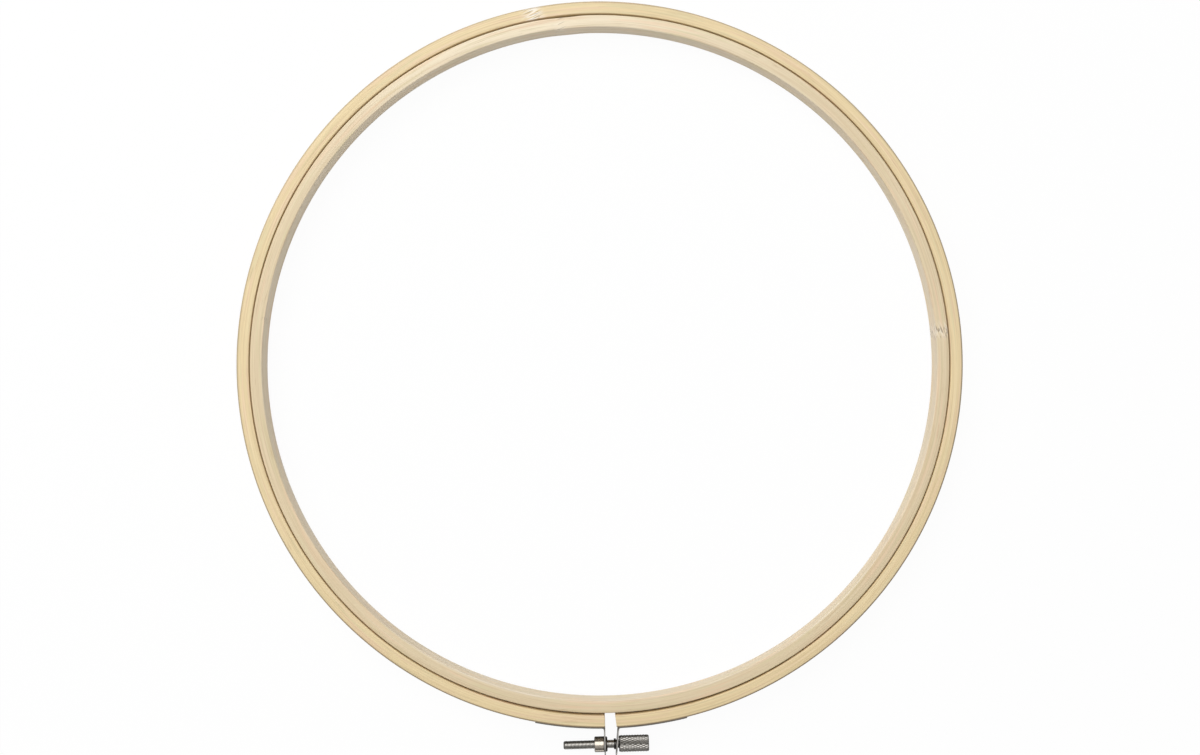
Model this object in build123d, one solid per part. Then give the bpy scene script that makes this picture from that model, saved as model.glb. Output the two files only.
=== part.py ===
from build123d import *
import os
from math import atan2, cos, degrees, pi, radians, sin, sqrt, tan

# Embroidery hoop, in millimetres. The origin is the centre of both rings in their bottom
# plane, +Z is up through the rings, the gap in the outer ring is at -Y, and the screw that
# closes it lies along X with its knob at +X.

# Wooden rings
inner_ring_diameter = 254.0
inner_ring_wall = 4.5
outer_ring_wall = 4.5
ring_height = 10.0
ring_edge_chamfer = 0.5
cloth_slack = 0.3

# Gap between the ends of the outer ring
end_gap = 4.0
knob_end_slant_deg = 6.0

# Sheet-metal brackets on the ends of the outer ring
sheet = 0.5
bracket_inset = 1.0
strip_length = 24.6
strip_corner_radius = 0.8
bend_radius = 0.6
knob_ear_set_back = 0.69
knob_ear_lean_deg = 6.0
nut_ear_set_back = 0.0
nut_ear_lean_deg = 0.0

# Rivet that holds each bracket to its ring end
rivet_place_share = 0.59
rivet_shank_diameter = 2.2
rivet_head_overhang = 1.3
rivet_head_height = 0.45
rivet_tail_overhang = 0.7
rivet_tail_thickness = 0.5
rivet_tail_sink = 0.25

# Screw and its retaining collar
rod_diameter = 3.0
rod_tip_chamfer = 0.45
rod_tail_length = 11.3
collar_rim = 0.45
collar_width = 0.75

# Barrel nut, swaged into its ear
nut_length = 3.6
nut_chamfer = 0.4
nut_neck_wall = 0.52
nut_shoulder = 0.7
nut_lip_overhang = 0.6
nut_lip_thickness = 0.65
nut_lip_chamfer = 0.25

# Knurled knob
knob_diameter = 6.1
knob_length = 10.95
knob_gap = 4.0
knob_end_radius = 0.7
knob_inner_chamfer = 0.4
knob_end_wall = 3.45
knurl_depth = 0.3
knurl_pitch = 2.0
knurl_diamonds = 24

# Clearances
running_clearance = 0.08
seat_gap = 0.05
knob_end_play = 0.1
overrun = 1.0

# Radii and heights of the rings and of the strips that lie on them
inner_ring_outer_r = inner_ring_diameter / 2
inner_ring_inner_r = inner_ring_outer_r - inner_ring_wall
outer_ring_inner_r = inner_ring_outer_r + cloth_slack
outer_ring_outer_r = outer_ring_inner_r + outer_ring_wall
strip_mid_r = outer_ring_outer_r + seat_gap + sheet / 2
strip_outer_r = strip_mid_r + sheet / 2
mid_height = ring_height / 2
bracket_width = ring_height - 2 * bracket_inset
ear_end_r = bracket_width / 2

# The screw's axis, and the radii of what is turned about it
screw_stand_off = knob_gap + knob_diameter / 2
screw_r = outer_ring_outer_r + screw_stand_off
rod_r = rod_diameter / 2
collar_r = rod_r + collar_rim
nut_bore_r = rod_r + running_clearance
nut_neck_r = nut_bore_r + nut_neck_wall
nut_r = nut_neck_r + nut_shoulder
nut_lip_r = nut_neck_r + nut_lip_overhang
knob_r = knob_diameter / 2

# Rivet radii
rivet_shank_r = rivet_shank_diameter / 2
rivet_hole_r = rivet_shank_r + running_clearance
rivet_head_r = rivet_shank_r + rivet_head_overhang
rivet_tail_r = rivet_shank_r + rivet_tail_overhang

# Each ear, by its set-back from the ring's end and its lean towards the gap
knob_ear = (knob_ear_set_back, knob_ear_lean_deg)
nut_ear = (nut_ear_set_back, nut_ear_lean_deg)


def ear_mid_x(ear):
    """Distance from the gap's middle plane to the middle of an ear's sheet, at the screw axis."""
    set_back, lean_deg = ear
    lean = radians(lean_deg)
    at_ring = end_gap / 2 + set_back + sheet / 2 / cos(lean)
    return at_ring - screw_stand_off * tan(lean)


def ear_face_x(ear, radius, side):
    """Where a flat round face first meets a leaning ear, outside (side 1) or inside (side -1)."""
    lean = radians(ear[1])
    return ear_mid_x(ear) + side * (sheet / 2 / cos(lean) + radius * tan(lean))


# Places along the screw, from its tip to the far end of the knob
nut_shoulder_x = -ear_face_x(nut_ear, nut_r, 1)
nut_outer_x = nut_shoulder_x - nut_length
nut_lip_x = -ear_face_x(nut_ear, nut_lip_r, -1)
rod_tip_x = nut_outer_x - rod_tail_length
collar_outer_x = ear_face_x(knob_ear, collar_r, -1) - knob_end_play
knob_inner_x = ear_face_x(knob_ear, knob_r, 1) + knob_end_play
knob_outer_x = knob_inner_x + knob_length
rod_end_x = knob_outer_x - knob_end_wall


def turned(points):
    """Body of revolution about the screw axis, from (place along the axis, radius) points."""
    outline = make_face(Polyline(*points, close=True))
    return Pos(0, -screw_r, mid_height) * revolve(outline, Axis.X)


def along_screw(radius, start, end):
    """Cylinder about the screw axis between two places along it."""
    return turned([(start, 0), (start, radius), (end, radius), (end, 0)])


def whole_ring(inner_r, wall):
    """Closed wooden ring with its four long edges broken."""
    section = Rectangle(wall, ring_height)
    section = chamfer(section.vertices(), ring_edge_chamfer)
    return revolve(Plane.XZ * Pos(inner_r + wall / 2, mid_height) * section, Axis.Z)


def gap_cutter():
    """Prism that parts the outer ring, square at the nut end and slanted at the knob end."""
    slant = tan(radians(knob_end_slant_deg))
    near_y = -(outer_ring_inner_r - overrun)
    far_y = -(outer_ring_outer_r + overrun)
    middle_y = -(outer_ring_inner_r + outer_ring_outer_r) / 2
    outline = Polyline(
        (-end_gap / 2, near_y),
        (-end_gap / 2, far_y),
        (end_gap / 2 + (middle_y - far_y) * slant, far_y),
        (end_gap / 2 + (middle_y - near_y) * slant, near_y),
        close=True,
    )
    prism = extrude(make_face(outline), ring_height + 2 * overrun)
    return Pos(0, 0, -overrun) * prism


def bend_place(ear):
    """Centre of the bend between strip and ear, with its two tangent points, at +X."""
    lean = radians(ear[1])
    toward_ring = Vector(sin(lean), cos(lean))
    away_from_gap = Vector(cos(lean), -sin(lean))
    bend_mid_r = bend_radius + sheet / 2
    start = Vector(ear_mid_x(ear), -screw_r) + away_from_gap * bend_mid_r
    along = start.dot(toward_ring)
    reach = strip_mid_r + bend_mid_r
    travel = -along - sqrt(along**2 - start.dot(start) + reach**2)
    centre = start + toward_ring * travel
    on_ring = centre * (strip_mid_r / reach)
    on_ear = centre - away_from_gap * bend_mid_r
    return centre, on_ring, on_ear


def strip_start_deg(ear):
    """Angle at the hoop's centre from the gap's middle to where the strip meets the ring."""
    on_ring = bend_place(ear)[1]
    return degrees(atan2(on_ring.X, -on_ring.Y))


def rivet_frame(ear):
    """Plane across a rivet's axis at the hoop's centre, with its normal pointing outwards."""
    turn = radians(strip_start_deg(ear)) + rivet_place_share * strip_length / strip_outer_r
    return Plane(origin=(0, 0, mid_height), x_dir=(0, 0, 1), z_dir=(sin(turn), -cos(turn), 0))


def rivet_cylinder(ear, radius, start, end):
    """Cylinder about a rivet's axis between two distances from the hoop's centre."""
    upright = Pos(0, 0, (start + end) / 2) * Cylinder(radius, end - start)
    return rivet_frame(ear) * upright


def sheet_path(ear):
    """Line through the middle of the sheet: round the ring, round the bend, out past the screw."""
    centre, on_ring, on_ear = bend_place(ear)
    strip_deg = degrees(strip_length / strip_outer_r)
    strip = CenterArc((0, 0), strip_mid_r, strip_start_deg(ear) - 90, strip_deg)
    to_ring = (on_ring - centre).normalized()
    to_ear = (on_ear - centre).normalized()
    bend_middle = centre + (to_ring + to_ear).normalized() * (bend_radius + sheet / 2)
    bend = ThreePointArc(on_ring, bend_middle, on_ear)
    lean = radians(ear[1])
    screw = Vector(ear_mid_x(ear), -screw_r)
    past_end = screw - Vector(sin(lean), cos(lean)) * (ear_end_r + overrun)
    return Wire([strip, bend, Line(on_ear, past_end)])


def bracket(ear, screw_hole_r):
    """Strip that hugs the ring, bent out into a round-ended ear for the screw, at +X."""
    blank = extrude(trace(sheet_path(ear), sheet), bracket_width)
    blank = Pos(0, 0, mid_height - bracket_width / 2) * blank
    short_edges = blank.edges().filter_by(lambda edge: edge.length < 2 * sheet)
    blank = fillet(short_edges.sort_by(Axis.X)[-2:], strip_corner_radius)
    past_ear = ear_face_x(ear, ear_end_r, 1) + overrun
    corner_depth = ear_end_r + 2 * overrun
    outer_side = (Align.MIN, Align.MAX, Align.CENTER)
    corners = Box(past_ear, corner_depth, bracket_width + overrun, align=outer_side)
    corners = Pos(0, -screw_r, mid_height) * corners - along_screw(ear_end_r, 0, past_ear)
    screw_hole = along_screw(screw_hole_r, 0, past_ear)
    rivet_hole = rivet_cylinder(ear, rivet_hole_r, outer_ring_outer_r, strip_outer_r + overrun)
    return blank - corners - screw_hole - rivet_hole


def rivet_room(ear):
    """Hole through the ring's wall, with the flat recess inside that the tail sinks into."""
    hole_start = outer_ring_inner_r - overrun
    recess_end = outer_ring_inner_r + rivet_tail_sink + rivet_tail_thickness + seat_gap
    hole = rivet_cylinder(ear, rivet_hole_r, hole_start, outer_ring_outer_r + overrun)
    recess = rivet_cylinder(ear, rivet_tail_r + running_clearance, hole_start, recess_end)
    return hole + recess


def rivet(ear):
    """Rivet with a low domed head outside the strip and its tail spread inside the wood."""
    tail_face = outer_ring_inner_r + rivet_tail_sink
    tail_top = tail_face + rivet_tail_thickness
    crown = strip_outer_r + rivet_head_height
    sides = Polyline(
        (0, crown),
        (0, tail_face),
        (rivet_tail_r, tail_face),
        (rivet_tail_r, tail_top),
        (rivet_shank_r, tail_top),
        (rivet_shank_r, strip_outer_r),
        (rivet_head_r, strip_outer_r),
    )
    dome_r = (rivet_head_r**2 + rivet_head_height**2) / (2 * rivet_head_height)
    dome = RadiusArc((rivet_head_r, strip_outer_r), (0, crown), -dome_r)
    outline = make_face([*sides.edges(), dome])
    return rivet_frame(ear) * revolve(Plane.XZ * outline, Axis.Z)


def outer_ring():
    """Split ring that closes round the inner one, drilled for its two rivets."""
    ring = whole_ring(outer_ring_inner_r, outer_ring_wall) - gap_cutter()
    return ring - rivet_room(knob_ear) - mirror(rivet_room(nut_ear), Plane.YZ)


def barrel_nut():
    """Round nut: shoulder outside the ear, neck through it, lip swaged over inside."""
    lip_end = nut_lip_x + nut_lip_thickness
    return turned([
        (nut_outer_x, nut_bore_r + nut_chamfer),
        (nut_outer_x, nut_r - nut_chamfer),
        (nut_outer_x + nut_chamfer, nut_r),
        (nut_shoulder_x, nut_r),
        (nut_shoulder_x, nut_neck_r),
        (nut_lip_x, nut_neck_r),
        (nut_lip_x, nut_lip_r),
        (lip_end - nut_lip_chamfer, nut_lip_r),
        (lip_end, nut_lip_r - nut_lip_chamfer),
        (lip_end, nut_bore_r),
        (nut_outer_x + nut_chamfer, nut_bore_r),
    ])


def threaded_rod():
    """Screw with a chamfered tip, and the collar that keeps it in the knob-side ear."""
    collar_inner_x = collar_outer_x - collar_width
    return turned([
        (rod_tip_x, 0),
        (rod_tip_x, rod_r - rod_tip_chamfer),
        (rod_tip_x + rod_tip_chamfer, rod_r),
        (collar_inner_x, rod_r),
        (collar_inner_x, collar_r),
        (collar_outer_x, collar_r),
        (collar_outer_x, rod_r),
        (rod_end_x, rod_r),
        (rod_end_x, 0),
    ])


def knurl_point(row, place, radius, row_width):
    """Point of the knurl at a row along the knob and a place round it, in diamonds."""
    turn = 2 * pi * place / knurl_diamonds
    return Vector(knob_inner_x + row * row_width, radius * cos(turn), radius * sin(turn))


def knurled_bar():
    """Bar covered in raised diamonds, each a low pyramid between the crossings of the grooves."""
    rows = round(2 * knob_length / knurl_pitch)
    row_width = knob_length / rows
    root_r = knob_r - knurl_depth
    rims = {0: [], rows: []}
    faces = []
    for row in range(rows + 1):
        for diamond in range(knurl_diamonds):
            middle = diamond + (row + 1) % 2 / 2
            crest = knurl_point(row, middle, knob_r, row_width)
            left = knurl_point(row, middle - 1 / 2, root_r, row_width)
            right = knurl_point(row, middle + 1 / 2, root_r, row_width)
            if row in rims:
                rims[row] += [left, crest]
            for next_row in (row - 1, row + 1):
                if 0 <= next_row <= rows:
                    point = knurl_point(next_row, middle, root_r, row_width)
                    faces.append(Face(Wire.make_polygon([left, crest, point])))
                    faces.append(Face(Wire.make_polygon([crest, right, point])))
    faces += [Face(Wire.make_polygon(rim)) for rim in rims.values()]
    return Pos(0, -screw_r, mid_height) * Solid(Shell(faces))


def knob_envelope():
    """Turned shape that trims the knurl: chamfered inside, rounded outside."""
    round_start = (knob_outer_x - knob_end_radius, knob_r)
    round_end = (knob_outer_x, knob_r - knob_end_radius)
    sides = Polyline(
        round_end,
        (knob_outer_x, 0),
        (knob_inner_x, 0),
        (knob_inner_x, knob_r - knob_inner_chamfer),
        (knob_inner_x + knob_inner_chamfer, knob_r),
        round_start,
    )
    outline = make_face([*sides.edges(), RadiusArc(round_start, round_end, knob_end_radius)])
    return Pos(0, -screw_r, mid_height) * revolve(outline, Axis.X)


def knurled_knob():
    """Knob pressed on the end of the screw."""
    bore = along_screw(rod_r, knob_inner_x - overrun, rod_end_x)
    return knurled_bar() & knob_envelope() - bore


nodes = {
    "inner_ring": whole_ring(inner_ring_inner_r, inner_ring_wall),
    "outer_ring": outer_ring(),
    "knob_side_bracket": bracket(knob_ear, rod_r + running_clearance),
    "nut_side_bracket": mirror(bracket(nut_ear, nut_neck_r + seat_gap), Plane.YZ),
    "knob_side_rivet": rivet(knob_ear),
    "nut_side_rivet": mirror(rivet(nut_ear), Plane.YZ),
    "barrel_nut": barrel_nut(),
    "threaded_rod": threaded_rod(),
    "knurled_knob": knurled_knob(),
}

os.makedirs("parts", exist_ok=True)
for name, solid in nodes.items():
    solid.label = name
    export_step(solid, f"parts/{name}.step")
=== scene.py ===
from itertools import pairwise
from math import asin, atan2, cos, pi, radians, sin, sqrt, tan, tau

import bmesh
import bpy
from bpy.props import FloatProperty, FloatVectorProperty, IntProperty, PointerProperty
from mathutils import Euler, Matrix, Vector


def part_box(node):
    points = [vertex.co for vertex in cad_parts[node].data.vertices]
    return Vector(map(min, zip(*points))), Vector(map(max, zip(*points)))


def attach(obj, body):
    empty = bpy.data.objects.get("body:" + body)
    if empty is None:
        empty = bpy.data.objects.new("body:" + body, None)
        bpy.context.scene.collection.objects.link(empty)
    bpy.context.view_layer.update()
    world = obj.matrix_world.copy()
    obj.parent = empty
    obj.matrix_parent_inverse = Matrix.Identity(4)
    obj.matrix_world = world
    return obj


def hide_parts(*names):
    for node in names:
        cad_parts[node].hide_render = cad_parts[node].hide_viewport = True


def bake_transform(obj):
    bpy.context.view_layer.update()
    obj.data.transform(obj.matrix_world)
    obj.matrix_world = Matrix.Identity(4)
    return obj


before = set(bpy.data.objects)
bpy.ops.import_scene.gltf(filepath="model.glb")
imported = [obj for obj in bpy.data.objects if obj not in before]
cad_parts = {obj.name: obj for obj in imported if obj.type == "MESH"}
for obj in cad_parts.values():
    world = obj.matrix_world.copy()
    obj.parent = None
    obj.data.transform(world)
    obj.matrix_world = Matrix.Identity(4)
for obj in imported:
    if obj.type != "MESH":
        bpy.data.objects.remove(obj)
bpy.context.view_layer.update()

bl_info = {
    "name": "Embroidery Hoop",
    "version": (1, 0, 0),
    "blender": (4, 5, 0),
    "location": "View3D > Sidebar > Hoop",
    "description": "Dresses a packed embroidery hoop: bamboo rings, sheet brackets, screw and knurled knob",
    "category": "Add Mesh",
}

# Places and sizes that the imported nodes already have
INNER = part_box("inner_ring")
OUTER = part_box("outer_ring")
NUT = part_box("barrel_nut")
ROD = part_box("threaded_rod")
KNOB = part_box("knurled_knob")
SCREW_MIDDLE = (ROD[0] + ROD[1]) / 2
MM = 0.001

# Distances under which points count as one, when merging and when cutting a mesh
MERGE, CUT = 1e-6, 1e-7

# Steps that the round forms are drawn with
TURNING_STEPS, THREAD_STEPS, RIVET_STEPS = 96, 32, 64
STRIP_STEPS, BEND_STEPS, EAR_STEPS, CORNER_STEPS, DOME_STEPS = 24, 8, 16, 6, 8
RING_EDGE_STEPS, RING_END_STEPS, DRILL_STEPS = 5, 3, 64

# Share of half a strip's width that an ear is rounded by, so that its two corners don't meet
ALMOST = 0.999


def linear(red, green, blue):
    """Scene-linear colour from 8-bit display values, all of them well above black."""
    return [((value / 255 + 0.055) / 1.055) ** 2.4 for value in (red, green, blue)]


def length(name, description, default):
    """Length property in metres."""
    return FloatProperty(name=name, description=description, default=default, unit="LENGTH",
                         min=0.0, precision=5)


def share(name, description, default, top=1.0):
    """Plain number between nothing and a top value."""
    return FloatProperty(name=name, description=description, default=default, min=0.0, max=top)


def colour(name, description, *display):
    """Colour property from 8-bit display values."""
    return FloatVectorProperty(name=name, description=description, default=linear(*display),
                               subtype="COLOR", size=3, min=0.0, max=1.0)


class HoopRings(bpy.types.PropertyGroup):
    """Sizes of the two bamboo rings"""

    outer_radius: length("Outer radius", "Outside radius of the split ring", OUTER[1].x)
    inner_radius: length("Inner radius", "Outside radius of the closed ring", INNER[1].x)
    wall: length("Wall", "Thickness of the bamboo in both rings", 4.5 * MM)
    height: length("Height", "Height of both rings", INNER[1].z)
    edge: length("Edge", "Rounding of the rings' long edges", 0.45 * MM)
    end_edge: length("End edge", "Rounding of the split ring's cut ends", 0.2 * MM)
    half_gap: length("Half gap", "From the middle of the gap to the nut-side end", 2.0 * MM)
    end_slant: FloatProperty(name="End slant", description="Slant of the knob-side end",
                             default=radians(6), subtype="ANGLE")
    out_of_round: length("Out of round", "How much flatter the inner ring is across the gap",
                         0.14 * MM)
    slack: length("Slack", "How far the inner ring stands in from the other near the gap",
                  0.34 * MM)
    slack_reach: length("Slack reach", "Reach of that stretch each way round", 75 * MM)
    hollow: length("Hollow", "Depth of the flat spot opposite the gap", 0.26 * MM)
    hollow_reach: length("Hollow reach", "Reach of the flat spot each way", 9 * MM)
    hollow_turn: FloatProperty(name="Hollow place", description="Angle of the flat spot",
                               default=radians(94), subtype="ANGLE")
    steps: IntProperty(name="Steps", description="Faces round each ring", default=540, min=64)
    give: share("Give", "Share of the nut end's travel that bows the free half outwards", 0.24)


class HoopHardware(bpy.types.PropertyGroup):
    """Sizes of the brackets, rivets, nut, screw and knob"""

    sheet: length("Sheet", "Thickness of the brackets", 0.5 * MM)
    sheet_edge: length("Sheet edge", "Rounding of the brackets' stamped edges", 0.07 * MM)
    seat: length("Seat", "Gap between a strip and the wood", 0.05 * MM)
    inset: length("Inset", "From a ring's face to the bracket's edge", 1.0 * MM)
    strip_length: length("Strip length", "Length of each strip round the ring", 24.6 * MM)
    strip_corner: length("Strip corner", "Corner radius at the strip's far end", 0.8 * MM)
    bend: length("Bend", "Inside radius of the bend between strip and ear", 0.6 * MM)
    knob_set_back: length("Knob ear set-back", "From the gap's edge to the knob-side ear",
                          0.69 * MM)
    knob_lean: FloatProperty(name="Knob ear lean", description="Lean towards the gap",
                             default=radians(6), subtype="ANGLE")
    rivet_share: share("Rivet place", "Place of the rivet along the strip", 0.59)
    shank: length("Rivet shank", "Radius of the rivet's shank", 1.1 * MM)
    head: length("Rivet head", "Radius of the rivet's head", 2.4 * MM)
    head_height: length("Head height", "Height of the rivet's domed head", 0.45 * MM)
    tail: length("Rivet tail", "Radius of the spread tail", 1.8 * MM)
    tail_height: length("Tail height", "Thickness of the spread tail", 0.5 * MM)
    tail_sink: length("Tail sink", "How far the tail lies under the inner wall", 0.25 * MM)
    clearance: length("Clearance", "Room round the screw and the rivets", 0.08 * MM)
    rod: length("Rod", "Radius over the screw's thread", 1.5 * MM)
    pitch: length("Pitch", "Pitch of the screw's thread", 0.5 * MM)
    thread_depth: length("Thread depth", "Depth of the screw's thread", 0.15 * MM)
    tip_chamfer: length("Tip chamfer", "Chamfer at the screw's tip", 0.45 * MM)
    collar: length("Collar", "Radius of the screw's collar", 1.95 * MM)
    collar_place: length("Collar place", "From the gap's middle to the collar's outer face",
                         1.762 * MM)
    collar_width: length("Collar width", "Width of the screw's collar", 0.75 * MM)
    nut_length: length("Nut length", "Length of the nut outside its ear", 3.6 * MM)
    nut_bore: length("Nut bore", "Radius of the bore in the nut", 1.58 * MM)
    nut_neck: length("Nut neck", "Radius of the neck through the ear", 2.1 * MM)
    nut_lip: length("Nut lip", "Radius of the lip swaged over the ear", 2.7 * MM)
    nut_lip_width: length("Nut lip width", "Thickness of the swaged lip", 0.65 * MM)
    nut_relief: length("Nut relief", "Chamfer at the nut's mouth and corners", 0.35 * MM)
    nut_edge: length("Nut edge", "Rounding of the nut's edges", 0.08 * MM)
    collar_edge: length("Collar edge", "Rounding of the collar's edges", 0.07 * MM)
    knurl_edge: length("Knurl edge", "Rounding of the knurl's crests", 0.10 * MM)


class HoopFinish(bpy.types.PropertyGroup):
    """Colours of the bamboo and the plating, and of the painted shade on them"""

    outer_wood: colour("Outer ring", "Bamboo of the split ring", 233, 211, 164)
    inner_wood: colour("Inner ring", "Bamboo of the closed ring", 223, 204, 168)
    # Partly the pith side's own paler tone, partly painted sheen: the greyer tint stands in for the floor's
    # reflection in the inner wall.
    wall_wood_and_sheen: colour("Inner wall", "Paler, greyer inside wall of the closed ring", 225, 211, 186)
    pale_wood: colour("Pale bamboo", "Bleached stretch of the closed ring", 242, 228, 200)
    pink_wood: colour("Pink bamboo", "Warmer streaks in both rings", 233, 203, 168)
    green_wood: colour("Green bamboo", "Greener streaks in both rings", 214, 202, 158)
    fibre: colour("Fibre", "Vascular bundles in the bamboo", 182, 152, 108)
    chalk: colour("Chalky grain", "Torn grain at the bamboo's joints", 248, 240, 226)
    # Partly real burnish, partly painted shade: the rounded outer edge is darkened most on the side away
    # from the key lamp.
    burnish_and_rim_shade: colour("Burnished edge", "Outer long edges, darkened by sanding", 132, 112, 88)
    speck: colour("Speck", "Dark specks at the bamboo's joints", 122, 98, 70)
    # Painted shade: the browner edges stand in for the shade in the gap where the two rings meet.
    seam: colour("Seam", "Browner edges where the two rings meet", 158, 122, 72)
    nickel: colour("Nickel", "Plating on brackets, rivets and screw", 205, 202, 196)
    warm_nickel: colour("Warm nickel", "Plating on the nut", 214, 204, 190)
    # Real tarnish in grooves and clouds, and also the colour of the painted shade by the wood and in the
    # rivet recesses.
    tarnish_and_shade: colour("Tarnish", "Grime in grooves and along the metal's edges", 84, 79, 72)
    # Painted shade: near black where the nut, collar and knob meet the ears, standing in for the shade
    # between them.
    gap_shade: colour("Oil", "Old oil where the metal pieces meet", 34, 31, 28)


class HoopStage(bpy.types.PropertyGroup):
    """Camera, lamps and floor"""

    camera_height: length("Camera height", "From the rings' upper faces to the lens", 0.56)
    frame_width: length("Frame width", "What the frame spans at the rings' upper faces", 0.43524)
    frame_drop: length("Frame drop", "How far the frame's middle lies towards the gap", 4.72 * MM)
    roll: FloatProperty(name="Roll", description="Turn of the camera about its line of sight",
                        default=radians(-1.74), subtype="ANGLE")
    surround: share("Surround", "Strength of the even light from all round", 0.40, 4.0)
    key_power: share("Key power", "Watts of the large lamp at the upper left", 15.5, 200.0)
    top_power: share("Top power", "Watts of the overhead lamp", 4.2, 200.0)
    card_distance: length("Card distance", "From the screw to the cards that its metal shows", 1.3)
    card_width: length("Card width", "Width of each of those cards", 2.6)
    floor: colour("Floor", "Plain pale floor", 246, 246, 245)
    lift: share("Floor lift", "How far the floor is lifted to white where it is seen", 0.95)


GROUPS = {"hoop_rings": HoopRings, "hoop_hardware": HoopHardware, "hoop_finish": HoopFinish,
          "hoop_stage": HoopStage}


def sizes():
    """The rings' sizes and the hardware's."""
    return bpy.context.scene.hoop_rings, bpy.context.scene.hoop_hardware


# Modelling by hand, one operator at a time

def mode(name):
    """Changes between editing a mesh and handling whole pieces."""
    bpy.ops.object.mode_set(mode=name)


def everything():
    """In edit mode, selects the whole mesh."""
    bpy.ops.mesh.select_all(action="SELECT")


def smooth(angle):
    """Shades the active piece smooth, but for edges sharper than an angle."""
    bpy.ops.object.shade_smooth_by_angle(angle=angle)


def rounded(offset, segments, affect="VERTICES"):
    """In edit mode, rounds the selected corners, or the selected edges."""
    bpy.ops.mesh.bevel(affect=affect, offset=offset, segments=segments, profile=0.5)


def nothing_selected():
    """Back to object mode with nothing selected."""
    if bpy.context.mode != "OBJECT":
        mode("OBJECT")
    bpy.ops.object.select_all(action="DESELECT")


def pick(piece):
    """Makes one piece the only one selected."""
    nothing_selected()
    piece.select_set(True)
    bpy.context.view_layer.objects.active = piece


def added(name):
    """Names the primitive that was just added and bakes its place into its mesh."""
    piece = bpy.context.object
    piece.name = piece.data.name = name
    bpy.ops.object.transform_apply(location=True, rotation=True, scale=True)
    return piece


def line(name, points):
    """Piece in edit mode, drawn from a single point by extruding from place to place."""
    nothing_selected()
    bpy.ops.mesh.primitive_plane_add(size=MM, location=points[0])
    piece = added(name)
    mode("EDIT")
    bpy.ops.mesh.select_mode(type="VERT")
    everything()
    bpy.ops.mesh.merge(type="CENTER")
    for start, end in pairwise(points):
        step = Vector(end) - Vector(start)
        bpy.ops.mesh.extrude_region_move(TRANSFORM_OT_translate={"value": step})
    return piece


def select(piece, test, kind="verts"):
    """In edit mode, selects the vertices, edges or faces that pass a test of their middle."""
    bpy.ops.mesh.select_mode(type={"verts": "VERT", "edges": "EDGE", "faces": "FACE"}[kind])
    bpy.ops.mesh.select_all(action="DESELECT")
    shape = bmesh.from_edit_mesh(piece.data)
    found = 0
    for element in getattr(shape, kind):
        corners = [element] if kind == "verts" else element.verts
        middle = sum((corner.co for corner in corners), Vector()) / len(corners)
        if test(middle):
            element.select_set(True)
            found += 1
    shape.select_flush_mode()
    bmesh.update_edit_mesh(piece.data)
    if not found:
        raise RuntimeError(f"{piece.name}: nothing there to select")


def spin(steps, angle, centre=(0, 0, 0), axis=(0, 0, 1)):
    """Spins what is selected, counter-clockwise about the axis for a positive angle."""
    bpy.ops.mesh.spin(steps=steps, angle=-angle, center=centre, axis=axis)


def closed(piece, angle=radians(32)):
    """Merges doubled points, turns the faces outwards and ends edit mode."""
    everything()
    bpy.ops.mesh.remove_doubles(threshold=MERGE)
    bpy.ops.mesh.normals_make_consistent(inside=False)
    mode("OBJECT")
    pick(piece)
    smooth(angle)
    return piece


def modify(piece, kind, **settings):
    """Adds a modifier and applies it."""
    pick(piece)
    modifier = piece.modifiers.new(kind.title(), kind)
    for key, value in settings.items():
        setattr(modifier, key, value)
    bpy.ops.object.modifier_apply(modifier=modifier.name)
    return piece


def cut(piece, tool, operation="DIFFERENCE"):
    """Cuts, joins or trims a piece with a tool, which is then thrown away."""
    modify(piece, "BOOLEAN", object=tool, operation=operation, solver="EXACT")
    bpy.data.objects.remove(tool)
    return piece


def softened(piece, width, segments=2, angle=radians(35)):
    """Breaks every sharp edge."""
    modify(piece, "BEVEL", width=width, segments=segments, limit_method="ANGLE",
           angle_limit=angle, use_clamp_overlap=True)
    pick(piece)
    smooth(radians(50))
    return piece


def turned(name, outline):
    """Piece turned about the X axis from (place, radius) points, then set on the screw's axis."""
    piece = line(name, [(place, 0, radius) for place, radius in outline])
    everything()
    spin(TURNING_STEPS, tau, axis=(1, 0, 0))
    closed(piece)
    mode("EDIT")
    everything()
    bpy.ops.transform.translate(value=(0, SCREW_MIDDLE.y, SCREW_MIDDLE.z))
    mode("OBJECT")
    return piece


def drill(radius, start, end):
    """Round tool between two points."""
    along = Vector(end) - Vector(start)
    turn = along.to_track_quat("Z", "Y").to_euler()
    nothing_selected()
    bpy.ops.mesh.primitive_cylinder_add(vertices=DRILL_STEPS, radius=radius, depth=along.length,
                                        location=(Vector(start) + Vector(end)) / 2, rotation=turn)
    return added("drill")


def remember_rest(piece):
    """Keeps each point's place at rest, so that the grain stays put when the ring flexes."""
    rest = piece.data.attributes.new("rest", "FLOAT_VECTOR", "POINT")
    places = [0.0] * (3 * len(piece.data.vertices))
    piece.data.vertices.foreach_get("co", places)
    rest.data.foreach_set("vector", places)


# Shader nodes written as arithmetic

class Signal:
    """A shader socket that takes part in plain arithmetic."""

    def __init__(self, finish, socket):
        self.finish, self.socket = finish, socket

    def __add__(self, other):
        return self.finish.maths("ADD", self, other)

    def __sub__(self, other):
        return self.finish.maths("SUBTRACT", self, other)

    def __rsub__(self, other):
        return self.finish.maths("SUBTRACT", other, self)

    def __mul__(self, other):
        return self.finish.maths("MULTIPLY", self, other)

    def __truediv__(self, other):
        return self.finish.maths("DIVIDE", self, other)

    __radd__, __rmul__ = __add__, __mul__

    def also(self, name):
        """Another output of the same node."""
        return Signal(self.finish, self.socket.node.outputs[name])


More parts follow.
